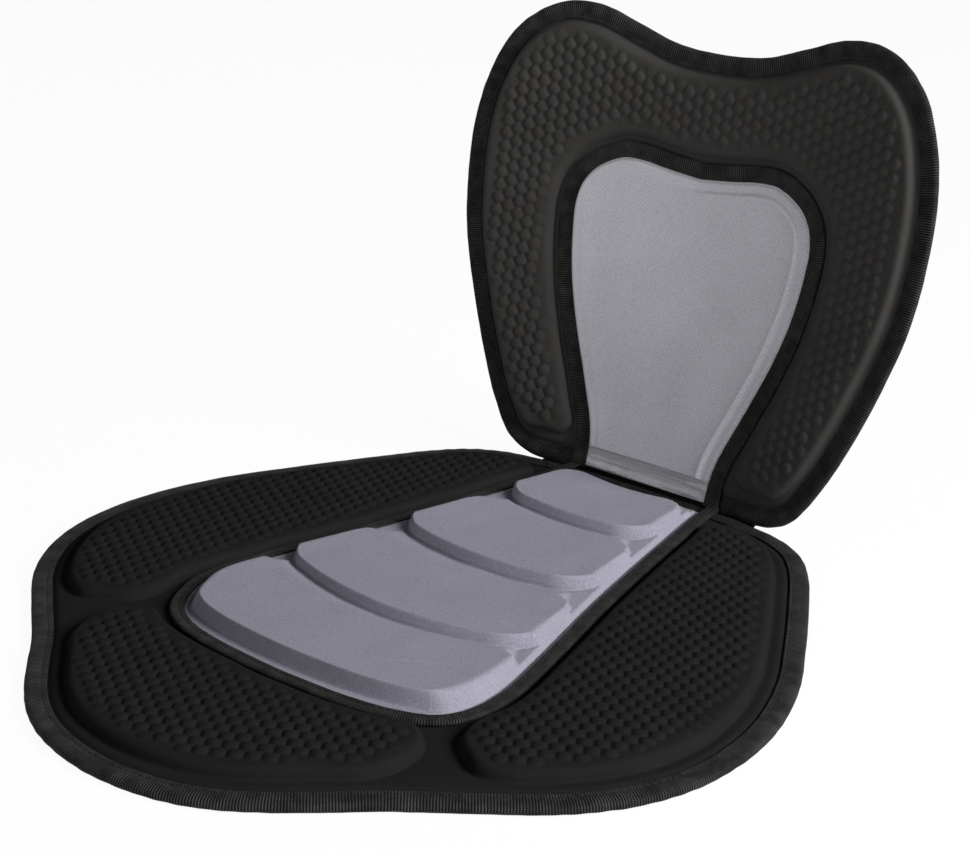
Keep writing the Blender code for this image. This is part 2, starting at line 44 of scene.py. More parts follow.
# Sizes shared with the CAD
SEAT_MIDDLE = 232 * MM
BACK_TILT = math.radians(15.5)
BACK_FOOT_Y = 0 * MM
BACK_FOOT_Z = 2 * MM
BACK_CURVE_SIDE = 0.52
BACK_CURVE_UP = 1.48
GAP = 0.3 * MM
TAPE_WIDTH = 11 * MM
RIM_TOP = 5.2 * MM
PANEL_RIM_TOP = 4.0 * MM
SEAT_TOP = 5.5 * MM
BACK_TOP = 6.6 * MM
COVER = 1.2 * MM
PAD_RISE = 6.0 * MM
SEAT_PAD_INSET = 19 * MM
BACK_PAD_INSET = 13.5 * MM
INSERT_TO_PAD = 3 * MM
SIDE_PAD_FRONT = -337 * MM
BACK_PAD_FOOT = 17 * MM
DOME_PITCH = 8.0 * MM
INSERT_TAPE_WIDTH = 7.5 * MM
SHIELD_TAPE_WIDTH = 10 * MM
FLANGE_RISE = 1.8 * MM
INSERT_TAPE_TOP = 2.7 * MM
SHIELD_FOOT = 16 * MM
REAR_FLAT = 80 * MM             # half of the rear edge that lies along the back's foot
SIDE_PAD_REAR = 100 * MM        # outer rear corner of the side pads, across
FLAP = 1.0 * MM
FLAP_HEIGHT = 24 * MM
FLAP_HALF = 78 * MM
SEAT_SIDE = [(103, -17), (121, -28), (137, -47), (160, -87), (181, -127), (200, -167),
             (212, -208), (215, -243), (211, -276), (199, -306), (179, -333), (150, -358),
             (119, -383), (99, -402), (80, -419), (60, -433), (36, -443), (0, -448)]
INSERT_SIDE = [(0, -337.5), (48, -334.5), (77, -328), (95, -318.5), (104.5, -300), (106, -275),
               (98, -232), (84, -172), (72.5, -115), (63, -62), (57.5, -30), (54, 0), (52, 30)]
BACK_SIDE = [(0, 0), (59, 0), (87, 1), (103.5, 9), (118, 30), (132, 60), (145.5, 97), (155.5, 133),
             (159.5, 171), (158.5, 205.5), (151.5, 235.5), (139.5, 259), (122, 275),
             (102.5, 282.5), (80.5, 282), (57, 275), (29.5, 267), (0, 265)]
SHIELD_SIDE = [(0, 201.5), (20, 203.5), (40, 206), (55, 205.5), (68, 200.5), (80, 192), (88.5, 180),
               (92.3, 165), (92, 148), (87.5, 117), (78.5, 86), (65.5, 52), (55.5, 24), (53.5, 0),
               (53, -30)]
BAR_FRONTS = [-325.5, -257, -175.5, -94.5]

# Finer sizes, and those that the photo puts a little off the CAD
STRIP_FOOT = 2.5 * MM           # lower edge of the strip under the shield
INSERT_REAR = -21 * MM          # rear end of the grey cloth, in front of the seat's own tape
BAR_REARS = [-266, -190, -105, -32]
DOME_RISE = 1.5 * MM
DOME_STEPS = 8                  # rows of mesh points from one row of domes to the next
DOME_EDGE = 6.2 * MM            # where a pad's domes begin, inside its foot
PAD_SHOULDER = 5.2 * MM         # width of a pad's wall and shoulder
RIB = 1.4 * MM                  # pitch of the tapes' ribs
RIB_RISE = 0.13 * MM
RIB_STEPS = 4                   # mesh points from one rib to the next
STITCH = 4 * MM                 # pitch of the stitches
STITCH_DIP = 0.34 * MM          # their line below the tape's face
THREAD = 0.3 * MM
FLOOR_Z = 10.0 * MM             # between the bars
CREST_Z = 17.0 * MM
BAR_FALL = 3.7 * MM
FIRST_BOW = 0.34                # radius of the first bar's front edge
BAR_BOW = 0.19                  # radius of the bars' other edges
BAR_CORNER = 21 * MM
REAR_CORNER = 15 * MM
WALL_DIP = 0.7 * MM             # how far a bar's front wall goes under the floor
GROOVE = 10.0 * MM              # moulded groove, inside the insert's edge
SIDE_FOOT = 10.9 * MM           # foot of the bars' end walls, inside the insert's edge
SIDE_WIDTH = 4.2 * MM
FRONT_FOOT = 13.3 * MM          # foot of the first bar's front wall
FRONT_WIDTH = 2.3 * MM
WALL_WIDTH = 3.2 * MM           # front walls of the other bars
SHIELD_START = 10.6 * MM        # foot of the shield, inside its cloth's edge
SHIELD_STEP = 2.2 * MM          # height of the shield's right-hand ridge
SHIELD_RISE = 3.6 * MM
SKIRT = 1.2 * MM                # how far the grey cloth's edge turns down
# The bars' creases: place (mm), turn (degrees), half length and height (mm)
CREASES = [(50, -292, 38, 14, 0.22), (60, -286, 30, 12, 0.16), (66, -296, 52, 8, 0.12),
           (40, -160, 30, 15, 0.24), (30, -152, 22, 12, 0.14), (-52, -296, -28, 10, 0.1),
           (28, -80, 30, 9, 0.15), (54, -226, 38, 11, 0.16)]


def smooth_path(points, closed, per_span=12):
    """Many points on a curve through the given ones."""
    pts = np.array(points, float)
    count = len(pts)
    out = []
    for i in range(count if closed else count - 1):
        if closed:
            p0, p1, p2, p3 = (pts[(i + k) % count] for k in (-1, 0, 1, 2))
        else:
            p1, p2 = pts[i], pts[i + 1]
            p0 = pts[i - 1] if i else 2 * p1 - p2
            p3 = pts[i + 2] if i + 2 < count else 2 * p2 - p1
        knots = [0.0]
        for a, b in ((p0, p1), (p1, p2), (p2, p3)):
            knots.append(knots[-1] + math.sqrt(math.dist(a, b)))
        t0, t1, t2, t3 = knots
        t = np.linspace(t1, t2, per_span, endpoint=False)[:, None]
        a1 = (p0 * (t1 - t) + p1 * (t - t0)) / (t1 - t0)
        a2 = (p1 * (t2 - t) + p2 * (t - t1)) / (t2 - t1)
        a3 = (p2 * (t3 - t) + p3 * (t - t2)) / (t3 - t2)
        b1 = (a1 * (t2 - t) + a2 * (t - t0)) / (t2 - t0)
        b2 = (a2 * (t3 - t) + a3 * (t - t1)) / (t3 - t1)
        out.append((b1 * (t2 - t) + b2 * (t - t1)) / (t2 - t1))
    if not closed:
        out.append(pts[-1:])
    return np.vstack(out)


def lengths_along(path):
    return np.concatenate([[0], np.cumsum(np.hypot(*np.diff(path, axis=0).T))])


def evenly(path, closed, pitch, multiple=1):
    """The path again with points this far apart, in a number that the multiple divides."""
    pts = np.vstack([path, path[:1]]) if closed else path
    along = lengths_along(pts)
    count = max(3, round(along[-1] / pitch / multiple) * multiple)
    wanted = np.linspace(0, along[-1], count + 1)
    out = np.stack([np.interp(wanted, along, pts[:, k]) for k in (0, 1)], axis=1)
    return out[:-1] if closed else out


def smoothed(path, reach=3):
    """The path with each point averaged with its neighbours within this reach."""
    padded = np.pad(path, ((reach, reach), (0, 0)), mode="edge")
    share = np.ones(2 * reach + 1) / (2 * reach + 1)
    return np.stack([np.convolve(padded[:, k], share, "valid") for k in (0, 1)], axis=1)


def signed_area(path):
    """The area inside a closed path, positive where it runs counter-clockwise."""
    x, y = path.T
    return np.sum(x * np.roll(y, -1) - y * np.roll(x, -1)) / 2


def counter_clockwise(path):
    return path if signed_area(path) > 0 else path[::-1]


def mirrored(side):
    side = np.array(side, float)
    return counter_clockwise(np.vstack([side, side[-2:0:-1] * [-1, 1]]))


def end_to_end(side):
    return np.vstack([side[:0:-1], side * [-1, 1]])


def normals_of(path, closed, reach):
    """Unit vectors to the path's left, smoothed over a few points."""
    if closed:
        ahead, behind = np.roll(path, -reach, axis=0), np.roll(path, reach, axis=0)
    else:
        index = np.arange(len(path))
        ahead = path[np.minimum(index + reach, len(path) - 1)]
        behind = path[np.maximum(index - reach, 0)]
    along = ahead - behind
    along /= np.linalg.norm(along, axis=1)[:, None]
    return np.stack([-along[:, 1], along[:, 0]], axis=1)


def inset(path, distance, closed=True):
    return path + distance * normals_of(path, closed, 1)


def pad_outline(edges, corner, pitch):
    """A closed outline along these edges in turn, rounded where one meets the next."""
    loop = []
    for edge in edges:
        along = lengths_along(edge)
        steps = max(2, round((along[-1] - 2 * corner) / pitch) + 1)
        for s in np.linspace(corner, along[-1] - corner, steps):
            loop.append([np.interp(s, along, edge[:, k]) for k in (0, 1)])
    return evenly(counter_clockwise(smooth_path(loop, True)), True, 1.5 * MM)


def straight(a, b):
    return np.linspace(a, b, 9)


def offset(point, across, ahead):
    """The point moved by these millimetres."""
    return np.array(point) + np.array([across, ahead]) * MM


def inside(outline, points):
    hit = np.zeros(len(points), bool)
    for (x1, y1), (x2, y2) in zip(outline, np.roll(outline, -1, axis=0)):
        if y1 != y2:
            crosses = (y1 > points[:, 1]) != (y2 > points[:, 1])
            hit ^= crosses & (points[:, 0] < x1 + (points[:, 1] - y1) * (x2 - x1) / (y2 - y1))
    return hit


def depth_in(outline, points, path=None):
    """How far each point is inside the outline (negative outside), and which way it lies from
    the nearest place on it. With a path, distances are from that part of the outline only."""
    line = outline if path is None else path
    if path is None:
        line = np.vstack([outline, outline[:1]])
    starts, steps = line[:-1], np.diff(line, axis=0)
    squares = (steps ** 2).sum(axis=1)
    best = np.empty(len(points))
    way = np.empty((len(points), 2))
    for low in range(0, len(points), 4000):
        part = points[low:low + 4000]
        gap = part[:, None] - starts
        share = np.clip((gap * steps).sum(axis=2) / squares, 0, 1)
        away = gap - share[..., None] * steps
        far = (away ** 2).sum(axis=2)
        nearest = far.argmin(axis=1)
        rows = np.arange(len(part))
        best[low:low + 4000] = np.sqrt(far[rows, nearest])
        way[low:low + 4000] = away[rows, nearest]
    way /= np.maximum(best, 1e-9)[:, None]
    return np.where(inside(outline, points), best, -best), way


def step(low, high, value):
    """0 below low, 1 above high, and smooth between."""
    t = np.clip((value - low) / (high - low), 0, 1)
    return t * t * (3 - 2 * t)


def bell(value, width):
    return np.exp(-(value / width) ** 2)


def soft_min(a, b, reach):
    """The smaller of the two, with the corner between them rounded."""
    h = np.clip(reach - np.abs(a - b), 0, None) / reach
    return np.minimum(a, b) - h * h * reach / 4


def soft_max(a, b, reach):
    return -soft_min(-a, -b, reach)


def sway(x, y, seed, size):
    """Smooth unevenness of about this wavelength, from -1 to 1."""
    rng = np.random.default_rng(seed)
    total = np.zeros(np.shape(x))
    for _ in range(7):
        turn, phase = rng.uniform(0, 2 * math.pi, 2)
        wave = 2 * math.pi / (size * rng.uniform(0.7, 1.6))
        total += np.sin(wave * (x * math.cos(turn) + y * math.sin(turn)) + phase)
    return total / 3.5


def lattice(area, column, row):
    """A close-packed lattice over a box, on the same origin whatever the box."""
    low, high = area
    i = np.arange(math.floor(low[0] / column), math.ceil(high[0] / column) + 1)
    j = np.arange(math.floor(low[1] / row), math.ceil(high[1] / row) + 1)
    i, j = np.meshgrid(i, j)
    keep = (i + j) % 2 == 0
    return np.stack([i[keep] * column, j[keep] * row], axis=1)


def triangle_lattice(outline, pitch):
    found = lattice((outline.min(axis=0), outline.max(axis=0)), pitch * math.sqrt(3) / 2, pitch / 2)
    return found[inside(outline, found)]


def away_from(points, others, distance):
    tree = kdtree.KDTree(len(others))
    for i, (x, y) in enumerate(others):
        tree.insert((x, y, 0), i)
    tree.balance()
    return points[[tree.find((x, y, 0))[2] > distance for x, y in points]]


def onto_back(points):
    """Places across, up and out from the flat back, bent onto the leaning, curved one."""
    x, v, w = np.asarray(points, float).T
    out = w + x ** 2 / (2 * BACK_CURVE_SIDE) + v ** 2 / (2 * BACK_CURVE_UP)
    y = BACK_FOOT_Y + v * math.sin(BACK_TILT) - out * math.cos(BACK_TILT)
    z = BACK_FOOT_Z + v * math.cos(BACK_TILT) + out * math.sin(BACK_TILT)
    return np.stack([x, y, z], axis=1)


def seat_rear(x):
    """The seat's rear edge, a clearance in front of the foot of the back."""
    return onto_back([(x, 0, RIM_TOP)])[0][1] - GAP


def dome_height(points, depth_at):
    """Close-packed domes, lower towards the edge of the pad. depth_at gives a place's depth."""
    column, row = DOME_PITCH * math.sqrt(3) / 2, DOME_PITCH / 2
    i = np.floor(points[:, 0] / column)
    best = np.full(len(points), np.inf)
    centre = np.zeros_like(points)
    for di in (0, 1):
        ci = i + di
        odd = ci % 2
        cj = 2 * np.round((points[:, 1] / row - odd) / 2) + odd
        place = np.stack([ci * column, cj * row], axis=1)
        far = ((points - place) ** 2).sum(axis=1)
        nearer = far < best
        best[nearer] = far[nearer]
        centre[nearer] = place[nearer]
    keys, back = np.unique(np.round(centre, 6), axis=0, return_inverse=True)
    strength = step(DOME_EDGE, 10.5 * MM, depth_at(keys))
    rng = np.random.default_rng(5)
    strength *= rng.uniform(0.88, 1.08, len(keys))
    radius = np.sqrt(best) / (DOME_PITCH / 2)
    return DOME_RISE * strength[back.reshape(-1)] * np.maximum(1 - radius ** 3, -0.55)


def pad_height(depth):
    """A pad's wall and rounded shoulder."""
    t = np.clip(1 - (depth - 0.2 * MM) / PAD_SHOULDER, 0, 1)
    return np.where(depth > 0, PAD_RISE * (1 - t ** 2.3) ** (1 / 2.1), 0)


def added(name, data):
    """A new object in the scene with this data."""
    obj = bpy.data.objects.new(name, data)
    bpy.context.scene.collection.objects.link(obj)
    return obj


def object_from(name, verts, faces, maps, look, place=None):
    """An object on the part's body, with a flat map for its weave."""
    if place is not None:
        verts = place(verts)
    verts = verts + [0, SEAT_MIDDLE, 0]
    data = bpy.data.meshes.new(name)
    data.from_pydata(verts.tolist(), [], faces if isinstance(faces, list) else faces.tolist())
    corners = np.empty(len(data.loops), int)
    data.loops.foreach_get("vertex_index", corners)
    layer = data.uv_layers.new(name="flat")
    layer.data.foreach_set("uv", np.asarray(maps, float)[corners].reshape(-1))
    data.materials.append(look)
    obj = added(name, data)
    data.shade_smooth()
    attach(obj, "root")
    return obj


def sheet_piece(name, outer, holes, points, height, look, place=None, skirt=0.0, under=False):
    """A sheet over the outline with these inner points, lifted to its height. Its edges turn
    down by the skirt. Under turns its face down."""
    loops = [outer, *holes]
    places = np.vstack(loops + [points])
    edges = []
    start = 0
    for loop in loops:
        n = len(loop)
        edges += [(start + k, start + (k + 1) % n) for k in range(n)]
        start += n
    found = delaunay_2d_cdt([tuple(p) for p in places], edges, [], 0, 1e-9, False)
    flat = np.array([tuple(p) for p in found[0]])
    faces = np.array(found[2])
    middle = flat[faces].mean(axis=1)
    keep = inside(outer, middle)
    for hole in holes:
        keep &= ~inside(hole, middle)
    faces = faces[keep]
    if under:
        faces = faces[:, ::-1]
    verts = np.column_stack([flat, height(flat)])
    maps = flat
    if skirt:
        sides = np.sort(faces[:, [0, 1, 1, 2, 2, 0]].reshape(-1, 2), axis=1)
        _, first, uses = np.unique(sides, axis=0, return_index=True, return_counts=True)
        rim = faces[:, [0, 1, 1, 2, 2, 0]].reshape(-1, 2)[first[uses == 1]]
        ends = np.unique(rim)
        lower = np.full(len(verts), -1)
        lower[ends] = len(verts) + np.arange(len(ends))
        dropped = verts[ends] - [0, 0, skirt]
        verts = np.vstack([verts, dropped])
        maps = np.vstack([maps, flat[ends]])
        walls = [[b, a, lower[a], lower[b]] for a, b in rim]
        faces = faces.tolist() + walls
    else:
        used = np.unique(faces)
        renumber = np.full(len(verts), -1)
        renumber[used] = np.arange(len(used))
        verts, maps, faces = verts[used], maps[used], renumber[faces]
    return object_from(name, verts, faces, maps, look, place)


def rings(path, closed, depths, pitch):
    """Points along the path at these depths."""
    even = evenly(path, closed, pitch)
    normal = normals_of(even, closed, 1)
    return np.vstack([even + depth * normal for depth in depths])


def tape_piece(name, path, closed, base, top, width, look, seed, place=None, ends=None):
    """Ribbed tape folded round an edge, sewn down near its inner edge."""
    even = evenly(path, closed, RIB / RIB_STEPS, RIB_STEPS)
    if ends is not None:
        even = even[even[:, 1] < ends] if ends < 0 else even[even[:, 1] > ends]
    normal = normals_of(even, closed, 12)
    turning = np.abs((normal - np.roll(normal, 24, axis=0))).sum(axis=1)
    if not closed:
        turning[:24] = 0
    along = np.arange(len(even)) * RIB / RIB_STEPS
    half = (top - base) / 2
    middle = (top + base) / 2
    reach = half * 1.15
    sewn = width - 2.3 * MM
    # Each point of the section: depth, height, share of the ribs, share of the waves
    section = [(width, top - 0.75 * MM, 0, 0),
               (width - 0.05 * MM, top - 0.12 * MM, 0.4, 0.4),
               (width - 0.5 * MM, top + 0.02 * MM, 0.8, 0.3),
               (width - 1.2 * MM, top - 0.02 * MM, 0.9, 0.5),
               (sewn, top - STITCH_DIP, 0.2, 0),
               (sewn - 1.0 * MM, top - 0.08 * MM, 0.8, 0.6),
               (0.55 * (sewn + reach), top + 0.12 * MM, 1, 1.1),
               (reach * 1.25, top + 0.06 * MM, 1, 1)]
    for turn in (72, 48, 24, 0, -24, -48, -72):
        a = math.radians(turn)
        section.append((reach * (1 - math.cos(a)), middle + half * math.sin(a), 1, 0.6))
    section += [(reach * 1.25, base, 0.6, 0.2), (width, base, 0.2, 0)]
    section = np.array(section)
    depth, height, ribbed, loose = section.T
    profile = np.stack([depth, height], axis=1)
    across = lengths_along(profile)
    tangent = np.gradient(profile, axis=0)
    tangent /= np.linalg.norm(tangent, axis=1)[:, None]
    out = np.stack([tangent[:, 1], -tangent[:, 0]], axis=1)
    rib = 0.5 + 0.5 * np.cos(2 * math.pi * along / RIB)
    rise = RIB_RISE * np.outer(rib, ribbed)
    slow = sway(along, 0 * along, seed, 23 * MM)
    pucker = sway(along, 0 * along, seed + 1, 9 * MM) * (0.35 + 9 * np.minimum(turning, 0.12))
    rise += np.outer(0.10 * MM * slow + 0.16 * MM * pucker, loose)
    stitch = 0.5 + 0.5 * np.cos(2 * math.pi * along / STITCH)
    rise[:, 3:6] -= np.outer(stitch, [0.03 * MM, 0.12 * MM, 0.03 * MM])
    d = depth + rise * out[:, 0]
    z = height + rise * out[:, 1]
    if base == 0 and place is None:
        z = np.maximum(z, 1e-5)      # never under the ground
    xy = even[:, None] + d[..., None] * normal[:, None]
    verts = np.concatenate([xy, z[..., None]], axis=2).reshape(-1, 3)
    n, m = len(even), len(section)
    maps = np.stack(np.broadcast_arrays(along[:, None], across[None]), axis=2).reshape(-1, 2)
    rows = np.arange(n if closed else n - 1)
    cols = np.arange(m - 1)
    a = rows[:, None] * m + cols
    b = ((rows[:, None] + 1) % n) * m + cols
    faces = np.stack([a, b, b + 1, a + 1], axis=2).reshape(-1, 4)[:, ::-1]
    faces = faces.tolist()
    if not closed:
        faces += [list(range(m)), list(range(n * m - 1, (n - 1) * m - 1, -1))]
    piece = object_from(name, verts, faces, maps, look, place)
    line = even + sewn * normal
    return piece, line, top - STITCH_DIP


def stitches(name, line, closed, height, look, place=None):
    """A row of short thread stitches lying in their groove."""
    path = evenly(line, closed, STITCH)
    heads = path if closed else path[:-1]
    nexts = np.roll(path, -1, axis=0) if closed else path[1:]
    steps_at = np.array([0.08, 0.16, 0.5, 0.84, 0.92])
    sizes = np.array([0.35, 0.9, 1.0, 0.9, 0.35]) * THREAD
    lift = np.array([-0.6, 0.3, 1.0, 0.3, -0.6]) * 0.22 * MM
    sides, cuts = 6, len(steps_at)
    turn = np.arange(sides) * math.pi / 3
    verts = []
    for a, b in zip(heads, nexts):
        along = (b - a) / max(np.linalg.norm(b - a), 1e-9)
        side = np.array([-along[1], along[0]])
        for t, r, up in zip(steps_at, sizes, lift):
            centre = a + t * (b - a)
            for angle in turn:
                spot = centre + side * r * math.cos(angle)
                verts.append((*spot, height + up + r * math.sin(angle)))
    verts = np.array(verts)
    maps = verts[:, :2].copy()
    faces = []
    for first in range(0, len(verts), sides * cuts):
        for o in range(first, first + sides * (cuts - 1), sides):
            for q in range(sides):
                p = (q + 1) % sides
                faces.append([o + q, o + sides + q, o + sides + p, o + p])
        last = first + sides * (cuts - 1)
        faces.append([first + q for q in range(sides)])
        faces.append([last + q for q in range(sides - 1, -1, -1)])
    return object_from(name, verts, faces, maps, look, place)


# Materials
def set_inputs(node, **values):
    """Sets sockets by their names, with _ for a space."""
    for name, value in values.items():
        node.inputs[name.replace("_", " ")].default_value = value


class Nodes:
    """Short ways to lay out a material's nodes."""

    def __init__(self, name, colour):
        self.material = bpy.data.materials.new(name)
        self.material.use_nodes = True
        self.tree = self.material.node_tree
        self.shader = self.tree.nodes["Principled BSDF"]
        self.material.diffuse_color = (*colour, 1)
        self.flat = self.add("ShaderNodeUVMap", uv_map="flat").outputs["UV"]
        self.place = self.add("ShaderNodeTexCoord").outputs["Object"]

    def add(self, kind, **settings):
        node = self.tree.nodes.new(kind)
        for key, value in settings.items():
            setattr(node, key, value)
        return node

    def link(self, value, socket):
        if isinstance(value, bpy.types.NodeSocket):
            self.tree.links.new(value, socket)
        else:
            socket.default_value = value

    def flat_xy(self):
        """The place along and across the flat cloth."""
        split = self.add("ShaderNodeSeparateXYZ")
        self.link(self.flat, split.inputs[0])
        return split.outputs[0], split.outputs[1]

    def math(self, operation, *values):
        node = self.add("ShaderNodeMath", operation=operation)
        for value, socket in zip(values, node.inputs):
            self.link(value, socket)
        return node.outputs[0]

    def noise(self, scale, detail=2.0):
        node = self.add("ShaderNodeTexNoise")
        self.link(self.place, node.inputs["Vector"])
        set_inputs(node, Scale=scale, Detail=detail)
        return node.outputs["Fac"]

    def wave(self, value, pitch):
        """0 to 1 and back over each pitch."""
        turned = self.math("MULTIPLY_ADD", value, 2 * math.pi / pitch, 0.0)
        return self.math("MULTIPLY_ADD", self.math("COSINE", turned), 0.5, 0.5)

    def mix(self, share, first, second):
        node = self.add("ShaderNodeMix", data_type="RGBA")
        self.link(share, node.inputs[0])
        self.link(first, node.inputs[6])
        self.link(second, node.inputs[7])
        return node.outputs[2]

    def stretch(self, value, low, high, to_low=0.0, to_high=1.0):
        node = self.add("ShaderNodeMapRange")
        self.link(value, node.inputs["Value"])
        set_inputs(node, From_Min=low, From_Max=high, To_Min=to_low, To_Max=to_high)
        return node.outputs["Result"]

    def bump(self, height, distance, strength=1.0, before=None):
        node = self.add("ShaderNodeBump")
        set_inputs(node, Strength=strength, Distance=distance)
        self.link(height, node.inputs["Height"])
        if before is not None:
            self.link(before, node.inputs["Normal"])
        return node.outputs["Normal"]

    def finish(self, colour, roughness, normal, sheen=0.0, specular=0.5, sheen_rough=0.4,
               sheen_tint=(1, 1, 1)):
        self.link(colour, self.shader.inputs["Base Color"])
        self.link(roughness, self.shader.inputs["Roughness"])
        if normal is not None:
            self.link(normal, self.shader.inputs["Normal"])
        set_inputs(self.shader, Sheen_Weight=sheen, Sheen_Roughness=sheen_rough,
                   Sheen_Tint=(*sheen_tint, 1), Specular_IOR_Level=specular)
        return self.material


def rgb(*linear):
    return (*linear, 1.0)


def tone(base, share):
    """The base colour, darker or lighter."""
    return rgb(*[c * share for c in base])


def black_cloth(name, base, sheen):
    """Black stretch cloth moulded onto foam: a fine knit with nap and a little wear."""
    n = Nodes(name, base)
    x, y = n.flat_xy()
    knit = n.math("MULTIPLY", n.wave(x, 0.62 * MM), n.wave(y, 0.8 * MM))
    nap = n.noise(1500, 3)
    patch = n.noise(38, 3)
    warm = n.noise(90, 2)
    shade = n.math("MULTIPLY_ADD", n.stretch(nap, 0.3, 0.7), 0.5, n.math("MULTIPLY", patch, 0.5))
    colour = n.mix(shade, tone(base, 0.72), tone(base, 1.35))
    brown = rgb(base[0] * 1.25, base[1] * 1.02, base[2] * 0.95)
    colour = n.mix(n.stretch(warm, 0.56, 0.74, 0.0, 0.4), colour, brown)
    lint = n.stretch(n.noise(2600, 1), 0.74, 0.80)
    colour = n.mix(n.math("MULTIPLY", lint, 0.35), colour, rgb(0.10, 0.095, 0.09))
    normal = n.bump(knit, 0.05 * MM, 0.5)
    normal = n.bump(nap, 0.16 * MM, 0.6, normal)
    return n.finish(colour, n.stretch(patch, 0.3, 0.7, 0.68, 0.86), normal, sheen, 0.0, 0.45,
                    (0.9, 0.88, 0.86))


def grey_cloth(name, base, twill):
    """Grey melange cloth: a knit on the bars, a diagonal twill on the shield."""
    n = Nodes(name, base)
    x, y = n.flat_xy()
    speck = n.noise(1150, 2)
    fine = n.noise(2600, 2)
    soft = n.noise(26, 3)
    shade = n.math("MULTIPLY_ADD", n.stretch(speck, 0.3, 0.7), 0.62, n.math("MULTIPLY", soft, 0.38))
    colour = n.mix(shade, tone(base, 0.74), tone(base, 1.24))
    light_fibre = n.stretch(fine, 0.66, 0.76)
    colour = n.mix(n.math("MULTIPLY", light_fibre, 0.35), colour, tone(base, 1.55))
    if twill:
        diagonal = n.math("MULTIPLY_ADD", x, 1.25, n.math("MULTIPLY", y, -1.0))
        drift = n.math("MULTIPLY", n.noise(9, 1), 2.2 * MM)
        wale = n.wave(n.math("ADD", diagonal, drift), 2.9 * MM)
        weave = n.wave(diagonal, 1.2 * MM)
        weft = n.wave(n.math("MULTIPLY_ADD", x, 1.0, n.math("MULTIPLY", y, 0.35)), 0.75 * MM)
        faint = n.stretch(n.noise(16, 1), 0.35, 0.65, 0.10, 0.34)
        colour = n.mix(n.math("MULTIPLY", wale, faint), colour, tone(base, 0.62))
        relief = n.math("MULTIPLY_ADD", weave, 0.7, n.math("MULTIPLY", weft, 0.3))
        normal = n.bump(relief, 0.10 * MM, 0.55)
        normal = n.bump(wale, 0.05 * MM, 0.5, normal)
    else:
        knit = n.math("MULTIPLY", n.wave(x, 0.7 * MM), n.wave(y, 0.85 * MM))
        normal = n.bump(knit, 0.06 * MM, 0.5)
    normal = n.bump(speck, 0.12 * MM, 0.6, normal)
    return n.finish(colour, n.stretch(soft, 0.3, 0.7, 0.74, 0.88), normal, 0.05, 0.02, 0.4,
                    (0.95, 0.95, 1.0))


def ribbed_tape(name, base, painted_glint_colour):
    """Black grosgrain: ribs across the tape, crossed by its long threads, with a painted highlight
    on the ribs' crests.
    """
    n = Nodes(name, base)
    along, across = n.flat_xy()
    rib = n.wave(along, RIB)
    odd = n.math("MULTIPLY", n.math("FLOOR", n.math("DIVIDE", along, RIB)), math.pi)
    thread = n.math("MULTIPLY_ADD", n.math("COSINE", n.math(
        "MULTIPLY_ADD", across, 2 * math.pi / (1.1 * MM), odd)), 0.5, 0.5)
    cell = n.math("MULTIPLY", n.math("POWER", rib, 1.6), n.math("MULTIPLY_ADD", thread, 0.6, 0.4))
    # Painted highlight: the rib cells are mixed towards the glint colour, more strongly in some
    # patches than in others
    uneven_glint = n.stretch(n.noise(120, 3), 0.35, 0.7, 0.35, 1.0)
    painted_glint = n.math("MULTIPLY", cell, uneven_glint)
    colour = n.mix(painted_glint, rgb(*base), rgb(*painted_glint_colour))
    fuzz = n.noise(2400, 2)
    normal = n.bump(cell, 0.14 * MM, 0.75)
    normal = n.bump(fuzz, 0.10 * MM, 0.5, normal)
    return n.finish(colour, n.math("MULTIPLY_ADD", painted_glint, -0.16, 0.60), normal, 0.02, 0.03, 0.35)


def plain_cover(name, base):
    """Plain woven backing cloth."""
    n = Nodes(name, base)
    x, y = n.flat_xy()
    warp = n.wave(x, 0.9 * MM)
    weft = n.wave(y, 0.9 * MM)
    check = n.math("ABSOLUTE", n.math("SUBTRACT", warp, weft))
    patch = n.noise(30, 3)
    shade = n.math("MULTIPLY_ADD", check, 0.5, n.math("MULTIPLY", patch, 0.5))
    colour = n.mix(shade, tone(base, 0.7), tone(base, 1.5))
    normal = n.bump(check, 0.10 * MM, 0.7)
    normal = n.bump(n.noise(1800, 2), 0.08 * MM, 0.5, normal)
    return n.finish(colour, n.stretch(patch, 0.3, 0.7, 0.7, 0.86), normal, 0.02, 0.0)


def thread_look(name, base):
    n = Nodes(name, base)
    twist = n.noise(2200, 2)
    colour = n.mix(twist, tone(base, 0.6), tone(base, 1.6))
    return n.finish(colour, 0.5, n.bump(twist, 0.08 * MM, 0.6), 0.02, 0.05)


def board_look(name, base):
    n = Nodes(name, base)
    grain = n.noise(700, 3)
    colour = n.mix(n.noise(40, 3), tone(base, 0.8), tone(base, 1.25))
    return n.finish(colour, n.stretch(grain, 0.3, 0.7, 0.42, 0.58), n.bump(grain, 0.05 * MM, 0.4))


seat_black = black_cloth("black_seat_cloth", (0.0118, 0.0114, 0.0117), 0.01)
# Painted light: the back's black cloth is the seat's cloth with a lighter base colour, standing in
# for the upright back catching more light than the seat
back_black_painted_lighter = black_cloth("black_back_cloth_painted_lighter", (0.0350, 0.0340, 0.0326), 0.02)
bars_grey = grey_cloth("grey_knit_cloth", (0.225, 0.217, 0.262), False)
# The shield's grey is lighter than the bars': partly its own paler twill, partly painted light
# standing in for the light on the upright back
shield_grey_partly_painted_light = grey_cloth("grey_twill_cloth", (0.430, 0.424, 0.462), True)
# The second colour is the painted highlight on the ribs' crests
tape_black = ribbed_tape("black_ribbed_tape", (0.0035, 0.0035, 0.0036), (0.082, 0.081, 0.079))
cover_black = plain_cover("black_backing_cloth", (0.012, 0.012, 0.0125))
thread_black = thread_look("black_thread", (0.014, 0.014, 0.014))
board_grey = board_look("stiff_board_plastic", (0.05, 0.05, 0.05))

